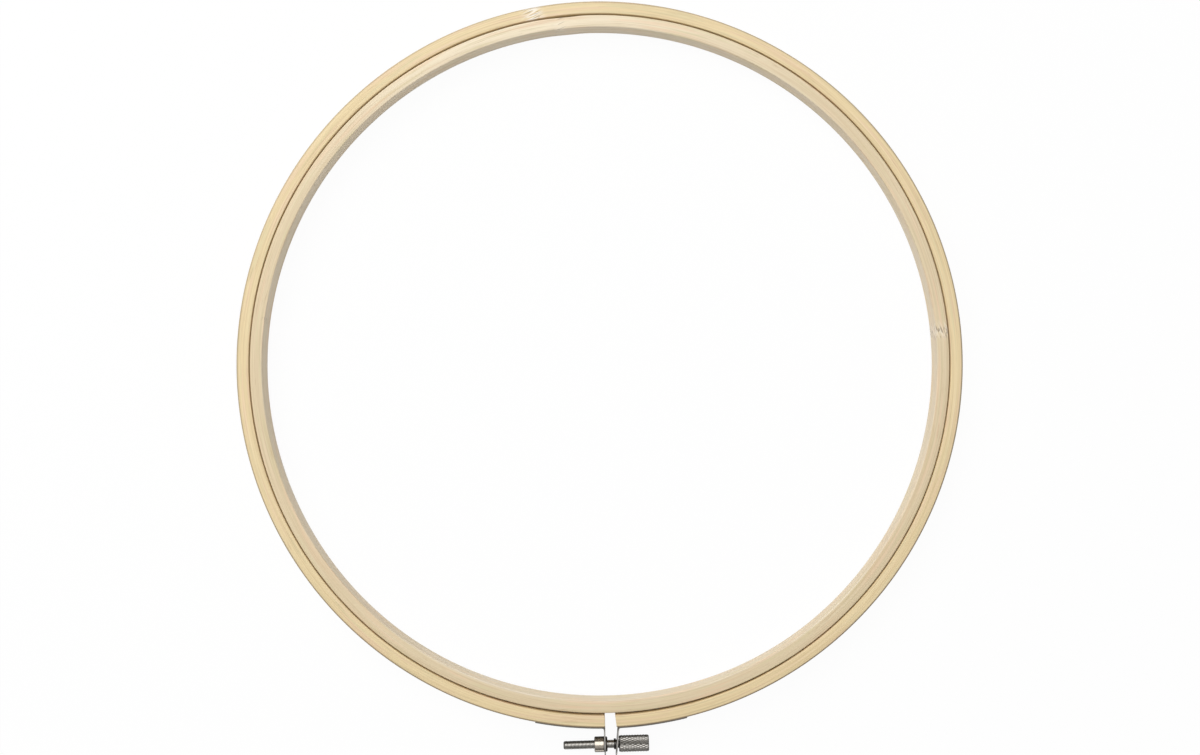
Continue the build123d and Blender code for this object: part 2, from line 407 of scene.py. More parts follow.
class Finish:
    """A material under construction."""

    def __init__(self, name):
        self.material = bpy.data.materials.new(name)
        self.material.use_nodes = True
        self.tree = self.material.node_tree
        self.shader = self.tree.nodes["Principled BSDF"]

    def node(self, kind, inputs=(), output=0, **settings):
        """Adds a node: its settings first, then the values or links of its sockets."""
        made = self.tree.nodes.new(kind)
        for key, value in settings.items():
            setattr(made, key, value)
        for key, value in dict(inputs).items():
            self.feed(made.inputs[key], value)
        return Signal(self, made.outputs[output])

    def feed(self, socket, value):
        """Sets a socket, or links a signal to it."""
        if isinstance(value, Signal):
            self.tree.links.new(value.socket, socket)
        else:
            socket.default_value = value

    def maths(self, operation, first, second=0.0):
        """One Math node."""
        return self.node("ShaderNodeMath", {0: first, 1: second}, operation=operation)

    def mix(self, factor, first, second):
        """Colour mix of two colours."""
        sides = {key: value if isinstance(value, Signal) else (*value[:3], 1.0)
                 for key, value in ((6, first), (7, second))}
        return self.node("ShaderNodeMix", {0: factor, **sides}, output=2, data_type="RGBA")

    def ramp(self, value, low, high, start=0.0, end=1.0):
        """Smooth step from start to end as a value goes from low to high."""
        return self.node("ShaderNodeMapRange", {0: value, 1: low, 2: high, 3: start, 4: end},
                         interpolation_type="SMOOTHSTEP", clamp=True)

    def tint(self, shade, tint, pattern, low, high, strength):
        """Mixes a tint into a shade where a pattern passes from low to high."""
        return self.mix(self.ramp(pattern, low, high) * strength, shade, tint)

    def noise(self, x, y, z, fourth, detail):
        """Noise at a place of four coordinates, from 0 to 1."""
        place = self.node("ShaderNodeCombineXYZ", {0: x, 1: y, 2: z})
        return self.node("ShaderNodeTexNoise", {"Vector": place, "W": fourth, "Scale": 1.0,
                                                "Detail": detail}, noise_dimensions="4D")

    def bumped(self, height, distance):
        """Surface normal from a height, which stands out by a distance."""
        normal = self.node("ShaderNodeBump", {"Height": height, "Distance": distance})
        self.feed(self.shader.inputs["Normal"], normal)

    def done(self, **sockets):
        """Feeds the shader's sockets and hands over the material."""
        for key, value in sockets.items():
            self.feed(self.shader.inputs[key.replace("_", " ")], value)
        return self.material


def coat_with(piece, material):
    """Gives a piece its only material."""
    piece.data.materials.clear()
    piece.data.materials.append(material)


# Streaks in the bamboo: run along the fibres and thickness across them, where in the noise
# they start, its detail, and how much they slant across the fibres
WARM = (26 * MM, 1.3 * MM, 11.0, 1.0)
GREEN = (19 * MM, 1.0 * MM, 63.0, 1.0)
LONG_FIBRE = (38 * MM, 0.32 * MM, 3.0, 3.0)
FINE_FIBRE = (16 * MM, 0.14 * MM, 7.0, 2.0)
BUNDLES = (7 * MM, 0.22 * MM, 23.0, 1.0)
PATCHES = (30 * MM, 1.6 * MM, 41.0, 1.0)
TORN_GRAIN = (5.0 * MM, 0.50 * MM, 71.0, 1.0, 0.27)
FLECKS = (3.4 * MM, 0.36 * MM, 57.0, 1.0, 0.27)
DOTS = (1.5 * MM, 0.45 * MM, 91.0, 1.0)

# Joints in each strip: angle round the ring and half width in degrees, strength of the
# chalky torn grain and of the dark flecks; then angle and half width of the specks
INNER_JOINTS = ((94.9, 1.5, 0.25, 0.45), (4.05, 2.1, 0.50, 0.65))
OUTER_JOINTS = ((99.1, 2.3, 1.0, 0.45),)
INNER_SPECKS = ((3.6, 1.6), (170.7, 0.8))
OUTER_SPECKS = ((98.0, 0.5),)

# Bleached stretch of the inner ring: angle round it and reach each way
BLEACHED_DEG = (99.0, 62.0)


class Bamboo(Finish):
    """Bamboo bent round the hoop, with coordinates that follow its fibres."""

    def __init__(self, name):
        super().__init__(name)
        rest = self.node("ShaderNodeAttribute", output="Vector", attribute_name="rest")
        x = self.node("ShaderNodeSeparateXYZ", {0: rest})
        y, self.z = x.also("Y"), x.also("Z")
        self.radius = self.maths("SQRT", x * x + y * y)
        self.along_x, self.along_y = x / self.radius, y / self.radius
        self.angle = self.maths("ARCTAN2", y, x)

    def streaks(self, run, thickness, seed, detail, slant=0.0):
        """Noise drawn out along the fibres."""
        reach = bpy.context.scene.hoop_rings.inner_radius
        turns = reach / run
        across = self.radius * (1 / thickness) + self.angle * (slant * reach / thickness) + seed
        return self.noise(self.along_x * turns, self.along_y * turns, across,
                          self.z * (1 / thickness), detail)

    def near(self, turn_deg, reach_deg, wobble=0.0):
        """1 at an angle round the ring, falling to 0 at a distance from it."""
        away = self.maths("ABSOLUTE", self.angle + wobble - radians(turn_deg))
        return self.ramp(away, 0.0, radians(reach_deg), 1.0, 0.0)


def bamboo(name, base, joints, specks, bleached_deg=None, wall=None):
    """Sanded bamboo: slow changes of tone, long fibres, short dark bundles and joints, with painted shade
    along the seam and the outer rim and a partly painted sheen on the inner wall.
    """
    rings, finish = bpy.context.scene.hoop_rings, bpy.context.scene.hoop_finish
    wood = Bamboo(name)
    shade = base
    if bleached_deg is not None:
        shade = wood.mix(wood.near(*bleached_deg) * 0.85, shade, finish.pale_wood)
    # Paler, greyer inner wall: partly the bamboo's own tone, partly a painted sheen of the floor.
    if wall is not None:
        inside = wood.ramp(wood.radius, wall + 0.05 * MM, wall + 0.45 * MM, 1.0, 0.0)
        shade = wood.mix(inside, shade, finish.wall_wood_and_sheen)
    warm = wood.streaks(*WARM)
    shade = wood.tint(shade, finish.pink_wood, warm, 0.50, 0.68, strength=0.60)
    shade = wood.tint(shade, finish.green_wood, wood.streaks(*GREEN), 0.52, 0.70, strength=0.50)
    long_fibre = wood.streaks(*LONG_FIBRE)
    fine_fibre = wood.streaks(*FINE_FIBRE)
    shade = wood.tint(shade, finish.fibre, long_fibre, 0.42, 0.70, strength=0.30)
    shade = wood.tint(shade, finish.fibre, fine_fibre, 0.45, 0.75, strength=0.18)
    dashes = wood.ramp(wood.streaks(*BUNDLES), 0.63, 0.72)
    dashes = dashes * wood.ramp(wood.streaks(*PATCHES), 0.40, 0.60)
    shade = wood.mix(dashes * 0.45, shade, finish.fibre)
    shade = wood.tint(shade, finish.pale_wood, long_fibre, 0.44, 0.26, strength=0.30)
    shade = jointed(wood, shade, joints, specks, wobble=(warm - 0.5) * 0.02)

    half_height = rings.height / 2
    top_edge = wood.ramp(wood.maths("ABSOLUTE", wood.z - half_height),
                         half_height - 0.9 * MM, half_height - 0.3 * MM)
    # Painted shade along the top edges where the two rings meet, standing in for the shade in the gap
    # between them.
    seam_radius = rings.inner_radius + 0.15 * MM
    seam_shade_mask = wood.ramp(wood.maths("ABSOLUTE", wood.radius - seam_radius),
                        0.20 * MM, 0.45 * MM, 1.0, 0.0)
    shade = wood.mix(seam_shade_mask * top_edge * 0.35, shade, finish.seam)
    # Painted shade on the outer rim as well as burnish: darkest on the side that faces away from the key
    # lamp at the upper left.
    rim = wood.ramp(wood.radius, rings.outer_radius - 0.75 * MM, rings.outer_radius - 0.35 * MM)
    rim_shade_away_from_key = 0.64 - wood.maths("COSINE", wood.angle - radians(120.0)) * 0.24
    shade = wood.mix(rim * top_edge * rim_shade_away_from_key, shade, finish.burnish_and_rim_shade)
    wood.bumped(long_fibre * 0.6 + fine_fibre * 0.4 - dashes * 0.3, 0.05 * MM)
    return wood.done(Base_Color=shade, Roughness=0.50 + long_fibre * 0.16)


def jointed(wood, shade, joints, specks, wobble):
    """Torn, chalky grain and dark flecks where the bamboo's ends are joined."""
    finish = bpy.context.scene.hoop_finish
    torn = wood.ramp(wood.streaks(*TORN_GRAIN), 0.40, 0.54)
    flecks = wood.ramp(wood.streaks(*FLECKS), 0.56, 0.66)
    dots = wood.ramp(wood.streaks(*DOTS), 0.60, 0.68)
    for turn, width, chalky, flecked in joints:
        band = wood.near(turn, width, wobble)
        shade = wood.mix(band * torn * chalky, shade, finish.chalk)
        shade = wood.mix(band * flecks * flecked, shade, finish.speck)
    for turn, width in specks:
        shade = wood.mix(wood.near(turn, width) * dots * 0.8, shade, finish.speck)
    return shade


class Metal(Finish):
    """Plated metal with its own coordinates about the screw."""

    def __init__(self, name):
        super().__init__(name)
        place = self.node("ShaderNodeTexCoord", output="Object")
        self.x = self.node("ShaderNodeSeparateXYZ", {0: place})
        self.y, self.z = self.x.also("Y"), self.x.also("Z")

    def from_axis(self, one, other):
        """Distance from an axis, from the two coordinates across it."""
        return self.maths("SQRT", one * one + other * other)

    def grain(self, x_run, y_run, z_run, seed, detail):
        """Noise with its own length along each axis."""
        return self.noise(self.x * (1 / x_run), self.y * (1 / y_run), self.z * (1 / z_run), seed,
                          detail)


def plate(name, base, wear):
    """Rolled and plated sheet: faint scratches, cloudy tarnish, painted shade along its upper edge against
    the wood and on the rivet tails in their recesses.
    """
    rings, finish = bpy.context.scene.hoop_rings, bpy.context.scene.hoop_finish
    metal = Metal(name)
    scratches = metal.grain(4 * MM, 4 * MM, 0.09 * MM, 2.0, detail=3.0)
    cloud = metal.grain(2.4 * MM, 2.4 * MM, 2.4 * MM, 5.0, detail=3.0)
    round_hoop = metal.from_axis(metal.x, metal.y)
    upper = metal.ramp(metal.z, rings.height - 1.6 * MM, rings.height - 1.1 * MM)
    # Painted shade: tarnish colour laid along the strip's upper edge where it lies against the wood.
    shade_by_wood = metal.ramp(round_hoop, rings.outer_radius + 0.7 * MM,
                         rings.outer_radius + 2.2 * MM, 1.0, 0.0)
    # Darkening: real cloudy tarnish, together with the painted shade by the wood.
    darkening = metal.maths("MAXIMUM", metal.ramp(cloud, 0.50, 0.80) * wear, shade_by_wood * upper * 0.80)
    shade = metal.mix(darkening, base, finish.tarnish_and_shade)
    # Painted shade on the rivet tails down in their recesses in the wood.
    recess_shade = metal.ramp(round_hoop, rings.outer_radius - 2 * MM, rings.outer_radius - MM, 1.0, 0.0)
    shade = metal.mix(recess_shade * 0.85, shade, finish.tarnish_and_shade)
    rough = 0.28 + metal.ramp(scratches, 0.35, 0.7) * 0.14 + darkening * 0.25
    metal.bumped(scratches * 0.7 + cloud * 0.3, 0.012 * MM)
    return metal.done(Base_Color=shade, Roughness=rough, Metallic=1.0)


def lathed(name, base, wear, shaded_stretch, groove=None, rough=0.13):
    """Turned and plated: fine rings round the screw's axis, grime in a groove, and painted shade between
    the ears.

    A groove is given by its radius at the bottom and at the crest, a shaded stretch by its ends.
    """
    finish = bpy.context.scene.hoop_finish
    metal = Metal(name)
    rings = metal.grain(0.05 * MM, 4 * MM, 4 * MM, 9.0, detail=2.0)
    radius = metal.from_axis(metal.y - SCREW_MIDDLE.y, metal.z - SCREW_MIDDLE.z)
    cloud = metal.grain(1.2 * MM, 1.2 * MM, 1.2 * MM, 13.0, detail=3.0)
    darkening = metal.ramp(cloud, 0.48, 0.74) * wear
    if groove is not None:
        deep = metal.ramp(radius, *groove, 1.0, 0.0)
        darkening = metal.maths("MAXIMUM", darkening, deep * 0.90)
    shade = metal.mix(darkening, base, finish.tarnish_and_shade)
    fade = 0.08 * MM
    # Painted shade between the ears, laid over a stretch along the screw.
    start, end = shaded_stretch
    gap_shade_film = metal.ramp(metal.x, start - fade, start + fade)
    gap_shade_film = gap_shade_film * metal.ramp(metal.x, end - fade, end + fade, 1.0, 0.0)
    shade = metal.mix(gap_shade_film * 0.9, shade, finish.gap_shade)
    metal.bumped(rings * 0.6 + cloud * 0.4, 0.01 * MM)
    return metal.done(Base_Color=shade, Roughness=rough + rings * 0.12 + darkening * 0.30, Metallic=1.0)


# Rings

def ring_section(name, outer_radius, turn):
    """Outline of a ring's section with rounded corners, in edit mode, at an angle round it."""
    rings, _ = sizes()
    middle = outer_radius - rings.wall / 2
    nothing_selected()
    bpy.ops.mesh.primitive_plane_add(
        size=1, location=(middle * cos(turn), middle * sin(turn), rings.height / 2),
        rotation=(pi / 2, 0, turn))
    bpy.context.object.scale = (rings.wall, rings.height, 1)
    piece = added(name)
    mode("EDIT")
    bpy.ops.mesh.select_mode(type="VERT")
    everything()
    rounded(rings.edge, RING_EDGE_STEPS)
    everything()
    bpy.ops.mesh.delete(type="ONLY_FACE")
    everything()
    return piece


def make_inner_ring():
    """Closed ring, very slightly flattened across the gap as bent bamboo is."""
    rings, _ = sizes()
    ring = ring_section("inner_bamboo_ring", rings.inner_radius, 0.0)
    spin(rings.steps, tau)
    everything()
    flat = 1 - rings.out_of_round / rings.inner_radius
    bpy.ops.transform.resize(value=(1, flat, 1), center_override=(0, 0, 0))
    pushed(ring, -pi / 2, 2 * rings.wall, rings.slack, rings.slack_reach)
    pushed(ring, rings.hollow_turn, rings.edge, rings.hollow, rings.hollow_reach)
    return closed(ring)


def pushed(ring, turn, depth, distance, reach):
    """Pushes the ring inwards at an angle round it, fading out along it, as deep as a depth."""
    rings, _ = sizes()
    outward = Vector((cos(turn), sin(turn), 0))
    spot = outward * rings.inner_radius
    select(ring, lambda m: (m.xy - spot.xy).length < depth)
    bpy.ops.transform.translate(value=-outward * distance, use_proportional_edit=True,
                                proportional_edit_falloff="SMOOTH", proportional_size=reach)


def rivet_axes():
    """Direction of each rivet from the hoop's middle: knob side, then nut side."""
    _, hardware = sizes()
    found = []
    for side, ear in ((1, knob_ear()), (-1, nut_ear())):
        turn = ear["start"] + hardware.rivet_share * strip_angle()
        found.append(Vector((side * sin(turn), -cos(turn), 0)))
    return found


def make_outer_ring():
    """Split ring, cut square at the nut end and slanted at the knob end, drilled for its rivets."""
    rings, hardware = sizes()
    spare = rings.half_gap * 0.6 / rings.outer_radius
    start = -pi / 2 + spare
    ring = ring_section("outer_bamboo_ring", rings.outer_radius, start)
    spin(rings.steps, tau - 2 * spare)
    middle_y = -(rings.outer_radius - rings.wall / 2)
    slant = rings.end_slant
    ends = ((1, Vector((cos(slant), sin(slant), 0))), (-1, Vector((-1, 0, 0))))
    for side, outward in ends:
        end = Vector((side * rings.half_gap, middle_y, 0))
        select(ring, lambda m: m.y < 0 and 0 < side * m.x < 10 * MM, "faces")
        bpy.ops.mesh.bisect(plane_co=end, plane_no=outward, use_fill=True, clear_inner=True,
                            threshold=CUT)
        select(ring, lambda m: m.y < 0 and abs((m - end).dot(outward)) < MERGE, "faces")
        rounded(rings.end_edge, RING_END_STEPS, "EDGES")
    closed(ring)
    inner_wall = rings.outer_radius - rings.wall
    recess_end = inner_wall + hardware.tail_sink + hardware.tail_height + hardware.seat
    middle = Vector((0, 0, rings.height / 2))
    for axis in rivet_axes():
        hole = drill(hardware.shank + hardware.clearance, middle + axis * (inner_wall - MM),
                     middle + axis * (rings.outer_radius + MM))
        cut(ring, hole)
        recess = drill(hardware.tail + hardware.clearance, middle + axis * (inner_wall - MM),
                       middle + axis * recess_end)
        cut(ring, recess)
    pick(ring)
    smooth(radians(32))
    return ring


def flex_with_nut_end(ring):
    """Bakes the ring's place into its mesh and walks its points round from the gap, but moves none of them:
    the nut-side half is not bowed.
    """
    rings, _ = sizes()
    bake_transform(ring)
    for vertex in ring.data.vertices:
        from_gap = atan2(-vertex.co.x, -vertex.co.y)
        if from_gap <= 0:
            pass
        elif from_gap <= asin(rings.give):
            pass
        elif from_gap <= pi / 2:
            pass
        else:
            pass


# Hardware

def strip_angle():
    """Angle at the hoop's middle that a strip covers."""
    _, hardware = sizes()
    return hardware.strip_length / (bpy.context.scene.hoop_rings.outer_radius + hardware.seat
                                    + hardware.sheet)


def ear_line(set_back, lean):
    """Where an ear's sheet, its bend and its strip meet, worked out on the knob's side."""
    rings, hardware = sizes()
    strip_radius = rings.outer_radius + hardware.seat + hardware.sheet / 2
    stand_off = -SCREW_MIDDLE.y - rings.outer_radius
    at_screw = Vector((rings.half_gap + set_back + hardware.sheet / 2 / cos(lean)
                       - stand_off * tan(lean), SCREW_MIDDLE.y, 0))
    toward_ring = Vector((sin(lean), cos(lean), 0))
    away = Vector((cos(lean), -sin(lean), 0))
    bend = hardware.bend + hardware.sheet / 2
    foot = at_screw + away * bend
    along = foot.dot(toward_ring)
    travel = -along - sqrt(along**2 - foot.dot(foot) + (strip_radius + bend) ** 2)
    centre = foot + toward_ring * travel
    on_ring = centre * (strip_radius / (strip_radius + bend))
    on_ear = centre - away * bend
    swing = (on_ring - centre).angle(on_ear - centre)
    return {"screw": at_screw, "outward": -toward_ring, "centre": centre, "on_ring": on_ring,
            "on_ear": on_ear, "swing": swing, "strip_radius": strip_radius,
            "start": atan2(on_ring.x, -on_ring.y)}


def knob_ear():
    """The ear beside the knob, which leans towards the gap."""
    _, hardware = sizes()
    return ear_line(hardware.knob_set_back, hardware.knob_lean)


def nut_ear():
    """The ear that holds the nut, which stands straight."""
    return ear_line(0.0, 0.0)


def make_bracket(name, ear, screw_hole, side):
    """Sheet strip spun round the ring and its bend, run out to a round-ended ear and drilled."""
    rings, hardware = sizes()
    width = rings.height - 2 * hardware.inset
    end_turn = ear["start"] + strip_angle()
    foot = Vector((sin(end_turn), -cos(end_turn), 0)) * ear["strip_radius"]
    foot.z = hardware.inset
    bracket = line(name, [foot, foot + Vector((0, 0, width))])
    everything()
    spin(STRIP_STEPS, -strip_angle())
    spin(BEND_STEPS, ear["swing"], ear["centre"])
    straight = ear["screw"] - ear["on_ear"] + ear["outward"] * width / 2
    bpy.ops.mesh.extrude_region_move(TRANSFORM_OT_translate={"value": straight})
    bpy.ops.mesh.select_mode(type="VERT")
    rounded(width / 2 * ALMOST, EAR_STEPS)
    select(bracket, lambda m: (m.xy - foot.xy).length < 10 * MERGE)
    rounded(hardware.strip_corner, CORNER_STEPS)
    everything()
    bpy.ops.mesh.remove_doubles(threshold=MERGE)
    mode("OBJECT")
    modify(bracket, "SOLIDIFY", thickness=hardware.sheet, offset=0.0, use_even_offset=True)
    middle = Vector((0, 0, rings.height / 2))
    screw = ear["screw"] + middle
    across = Vector((4 * hardware.sheet, 0, 0))
    cut(bracket, drill(screw_hole, screw - across, screw + across))
    turn = ear["start"] + hardware.rivet_share * strip_angle()
    axis = Vector((sin(turn), -cos(turn), 0))
    cut(bracket, drill(hardware.shank + hardware.clearance,
                       middle + axis * (ear["strip_radius"] - MM),
                       middle + axis * (ear["strip_radius"] + MM)))
    if side < 0:
        mode("EDIT")
        everything()
        bpy.ops.transform.resize(value=(-1, 1, 1), center_override=(0, 0, 0))
        mode("OBJECT")
    mode("EDIT")
    closed(bracket)
    return softened(bracket, hardware.sheet_edge)


def make_rivet(name, axis):
    """Low domed head, shank and spread tail, turned upright and then laid along its axis."""
    rings, hardware = sizes()
    inner_wall = rings.outer_radius - rings.wall
    tail_face = inner_wall + hardware.tail_sink
    tail_top = tail_face + hardware.tail_height
    head_base = rings.outer_radius + hardware.seat + hardware.sheet
    dome = (hardware.head**2 + hardware.head_height**2) / (2 * hardware.head_height)
    outline = [(0, tail_face), (hardware.tail, tail_face), (hardware.tail, tail_top),
               (hardware.shank, tail_top), (hardware.shank, head_base)]
    for step in range(DOME_STEPS + 1):
        radius = hardware.head * (1 - step / DOME_STEPS)
        height = head_base + hardware.head_height - dome + sqrt(dome**2 - radius**2)
        outline.append((radius, height))
    rivet = line(name, [(radius, 0, height) for radius, height in outline])
    everything()
    spin(RIVET_STEPS, tau)
    closed(rivet)
    softened(rivet, hardware.sheet_edge)
    pick(rivet)
    rivet.rotation_mode = "QUATERNION"
    rivet.rotation_quaternion = axis.to_track_quat("Z", "Y")
    rivet.location = (0, 0, rings.height / 2)
    bpy.ops.object.transform_apply(location=True, rotation=True, scale=True)
    return rivet


def make_nut():
    """Barrel nut: shoulder outside the ear, neck through it, lip swaged over inside."""
    _, hardware = sizes()
    radius = (NUT[1].y - NUT[0].y) / 2
    outer, lip_end = NUT[0].x, NUT[1].x
    shoulder, lip = outer + hardware.nut_length, lip_end - hardware.nut_lip_width
    relief = hardware.nut_relief
    nut = turned("barrel_nut_body", [
        (outer + relief, hardware.nut_bore), (outer, hardware.nut_bore + relief),
        (outer, radius - relief), (outer + relief * 0.6, radius), (shoulder, radius),
        (shoulder, hardware.nut_neck), (lip, hardware.nut_neck), (lip, hardware.nut_lip),
        (lip_end - relief * 0.6, hardware.nut_lip), (lip_end, hardware.nut_lip - relief),
        (lip_end, hardware.nut_bore), (outer + relief, hardware.nut_bore)])
    return softened(nut, hardware.nut_edge, segments=3, angle=radians(25))


def thread_blank():
    """Ridge of one turn, run along the screw by its pitch until it fills the rod."""
    _, hardware = sizes()
    pitch, crest = hardware.pitch, hardware.rod
    root = crest - hardware.thread_depth
    start = ROD[0].x - pitch
    shares = ((0.0, root), (0.24, crest), (0.72, crest), (0.96, root), (1.0, root))
    ridge = line("thread", [(start + s * pitch, 0, radius) for s, radius in shares])
    mode("OBJECT")
    end = hardware.collar_place - hardware.collar_width / 2
    turns = int((end - start) / pitch) + 1
    modify(ridge, "SCREW", angle=tau, screw_offset=pitch, iterations=turns,
           steps=THREAD_STEPS, render_steps=THREAD_STEPS, axis="X",
           use_merge_vertices=False, use_smooth_shade=True)
    mode("EDIT")
    everything()
    bpy.ops.mesh.remove_doubles(threshold=MERGE)
    for place, facing in ((ROD[0].x, -1), (end, 1)):
        everything()
        bpy.ops.mesh.bisect(plane_co=(place, 0, 0), plane_no=(facing, 0, 0), use_fill=True,
                            clear_outer=True, threshold=CUT)
    everything()
    bpy.ops.transform.translate(value=(0, SCREW_MIDDLE.y, SCREW_MIDDLE.z))
    return closed(ridge, radians(40))


def make_screw():
    """Threaded rod with a chamfered tip, its collar, and the journal inside the knob."""
    _, hardware = sizes()
    tip, end, rod = ROD[0].x, ROD[1].x, hardware.rod
    collar_outer = hardware.collar_place
    collar_inner = collar_outer - hardware.collar_width
    screw = thread_blank()
    over_crest = rod + hardware.clearance / 4
    envelope = turned("envelope", [
        (tip, 0), (tip, rod - hardware.tip_chamfer), (tip + hardware.tip_chamfer, over_crest),
        (collar_outer, over_crest), (collar_outer, 0)])
    cut(screw, envelope, "INTERSECT")
    journal = turned("journal", [
        (collar_inner, 0), (collar_inner, hardware.collar), (collar_outer, hardware.collar),
        (collar_outer, rod), (end, rod), (end, 0)])
    softened(journal, hardware.collar_edge)
    cut(screw, journal, "UNION")
    screw.name = screw.data.name = "screw_with_collar"
    pick(screw)
    mode("EDIT")
    everything()
    bpy.ops.mesh.dissolve_degenerate(threshold=MERGE / 2)
    mode("OBJECT")
    smooth(radians(25))
    return screw


def make_knob():
    """Diamond-knurled knob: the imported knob's form with its crests and rims worn round."""
    _, hardware = sizes()
    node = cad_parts["knurled_knob"]
    knob = bpy.data.objects.new("knurled_knob_body", node.data.copy())
    bpy.context.scene.collection.objects.link(knob)
    pick(knob)
    mode("EDIT")
    everything()
    bpy.ops.mesh.remove_doubles(threshold=2 * MERGE)
    bpy.ops.mesh.dissolve_limited(angle_limit=radians(1.5))
    mode("OBJECT")
    bpy.ops.mesh.customdata_custom_splitnormals_clear()
    return softened(knob, hardware.knurl_edge, segments=2, angle=radians(12))


# Stage

# Lamps: name, which property holds the watts, diameter and place
LAMPS = (
    ("key_lamp", "key_power", 1.4, (-0.682, 0.813, 1.061)),
    ("top_lamp", "top_power", 1.0, (0.1, 0.1, 1.5)),
)

# Cards hung round the screw: name, brightness, from and to which angle from overhead, and
# heading round the hoop
CARDS = (
    ("light_card", 1.7, 0, 50), ("back_card", 0.02, 50, 96), ("ceiling_card", 0.45, -48, 0),
    ("front_card", 0.18, -96, -48), ("left_card", 0.06, 40, 96, 90),
    ("right_card", 0.06, 40, 96, -90),
)

# Floor, and the two shade cards on it: their width, reach past the screw and height off the floor
FLOOR_SIZE = 60
LAID_WIDTH, LAID_REACH, LAID_LIFT = 64 * MM, 20 * MM, 0.1 * MM


def aim(lamp, place, target):
    """Sets a lamp or camera down, looking at a point."""
    lamp.location = place
    lamp.rotation_euler = (Vector(target) - Vector(place)).to_track_quat("-Z", "Y").to_euler()


def add_lamp(name, power, size, place, target):
    """Large soft lamp that the camera doesn't see."""
    nothing_selected()
    bpy.ops.object.light_add(type="AREA")
    lamp = bpy.context.object
    lamp.name = lamp.data.name = name
    lamp.data.shape, lamp.data.size, lamp.data.energy = "DISK", size, power
    lamp.visible_camera = False
    aim(lamp, place, target)


def seen_directly(tree):
    """1 for rays that show the background: from the camera, in gloss or through glass."""
    path = tree.nodes.new("ShaderNodeLightPath")
    total = path.outputs["Is Camera Ray"]
    for name in ("Is Glossy Ray", "Is Transmission Ray"):
        most = tree.nodes.new("ShaderNodeMath")
        most.operation = "MAXIMUM"
        tree.links.new(total, most.inputs[0])
        tree.links.new(path.outputs[name], most.inputs[1])
        total = most.outputs[0]
    return total


def make_floor():
    """Plain pale floor, lifted to white where it is seen and keeping the hoop's shadow."""
    stage = bpy.context.scene.hoop_stage
    nothing_selected()
    bpy.ops.mesh.primitive_plane_add(size=FLOOR_SIZE)
    floor = added("floor")
    paint = Finish("floor_paint")
    paint.done(Base_Color=(*stage.floor, 1.0), Roughness=0.9)
    glow = paint.node("ShaderNodeEmission", {"Color": (1, 1, 1, 1), "Strength": 1.0})
    factor = Signal(paint, seen_directly(paint.tree)) * stage.lift
    plain = Signal(paint, paint.shader.outputs[0])
    both = paint.node("ShaderNodeMixShader", {0: factor, 1: plain, 2: glow})
    paint.feed(paint.tree.nodes["Material Output"].inputs["Surface"], both)
    coat_with(floor, paint.material)


def hang_card(name, grey, start_deg, end_deg, heading_deg=0.0):
    """Card round the screw, as a photographer hangs them round a small shiny part.

    It spans two angles from overhead, towards the back of the hoop at a heading of 0.
    """
    stage = bpy.context.scene.hoop_stage
    middle, half = radians(start_deg + end_deg) / 2, radians(end_deg - start_deg) / 2
    heading = radians(heading_deg)
    toward = Vector((-sin(heading) * sin(middle), cos(heading) * sin(middle), cos(middle)))
    place = SCREW_MIDDLE + toward * stage.card_distance * cos(half)
    add_card(name, grey, (stage.card_width, 2 * stage.card_distance * sin(half)), place,
             SCREW_MIDDLE)


def lay_shade_cards():
    """Small dark cards on the floor under the screw, the darker one on the ring's side: a painted
    reflection of the shade there, seen only in the metal's gloss.
    """
    screw = SCREW_MIDDLE.y
    for name, grey, near, far in (("ring_side_card", 0.06, -OUTER[1].y + 2 * MM, screw),
                                  ("near_side_card", 0.18, screw, screw - LAID_REACH)):
        middle = Vector((0, (near + far) / 2, LAID_LIFT))
        add_card(name, grey, (LAID_WIDTH, near - far), middle, middle + Vector((0, 0, 1)))


def add_card(name, grey, size, place, target):
    """Plain card that only shows in the metal's gloss."""
    nothing_selected()
    bpy.ops.mesh.primitive_plane_add(size=1)
    card = bpy.context.object
    card.scale = (*size, 1)
    aim(card, place, target)
    added(name)
    card.visible_camera = card.visible_diffuse = card.visible_shadow = False
    card.visible_transmission = card.visible_volume_scatter = False
    paint = Finish(name + "_paint")
    glow = paint.node("ShaderNodeEmission", {"Color": (grey, grey, grey, 1), "Strength": 1.0})
    paint.feed(paint.tree.nodes["Material Output"].inputs["Surface"], glow)
    coat_with(card, paint.material)


def make_world():
    """Even light from all round, with white behind the hoop."""
    stage = bpy.context.scene.hoop_stage
    world = bpy.data.worlds.new("studio")
    world.use_nodes = True
    bpy.context.scene.world = world
    tree = world.node_tree
    background = tree.nodes["Background"]
    background.inputs["Color"].default_value = (1, 1, 1, 1)
    strength = tree.nodes.new("ShaderNodeMapRange")
    tree.links.new(seen_directly(tree), strength.inputs[0])
    strength.inputs[3].default_value = stage.surround
    strength.inputs[4].default_value = 1.0
    tree.links.new(strength.outputs[0], background.inputs["Strength"])


def make_camera():
    """Camera straight over the hoop, as in the photograph."""
    stage, rings = bpy.context.scene.hoop_stage, bpy.context.scene.hoop_rings
    nothing_selected()
    bpy.ops.object.camera_add()
    camera = bpy.context.object
    camera.name = camera.data.name = "photo_camera"
    camera.data.sensor_width = 36
    camera.data.lens = camera.data.sensor_width * stage.camera_height / stage.frame_width
    camera.data.clip_start = 0.01
    camera.location = (0, -stage.frame_drop, rings.height + stage.camera_height)
    camera.rotation_euler = Euler((0, 0, stage.roll))
    bpy.context.scene.camera = camera


# Operators, one for each piece or group of like pieces

class HoopOperator:
    """What all the operators share: each one's make does its work"""

    bl_options = {"REGISTER", "UNDO"}

    def execute(self, context):
        self.make(context.scene.hoop_rings, context.scene.hoop_hardware,
                  context.scene.hoop_finish)
        nothing_selected()
        return {"FINISHED"}


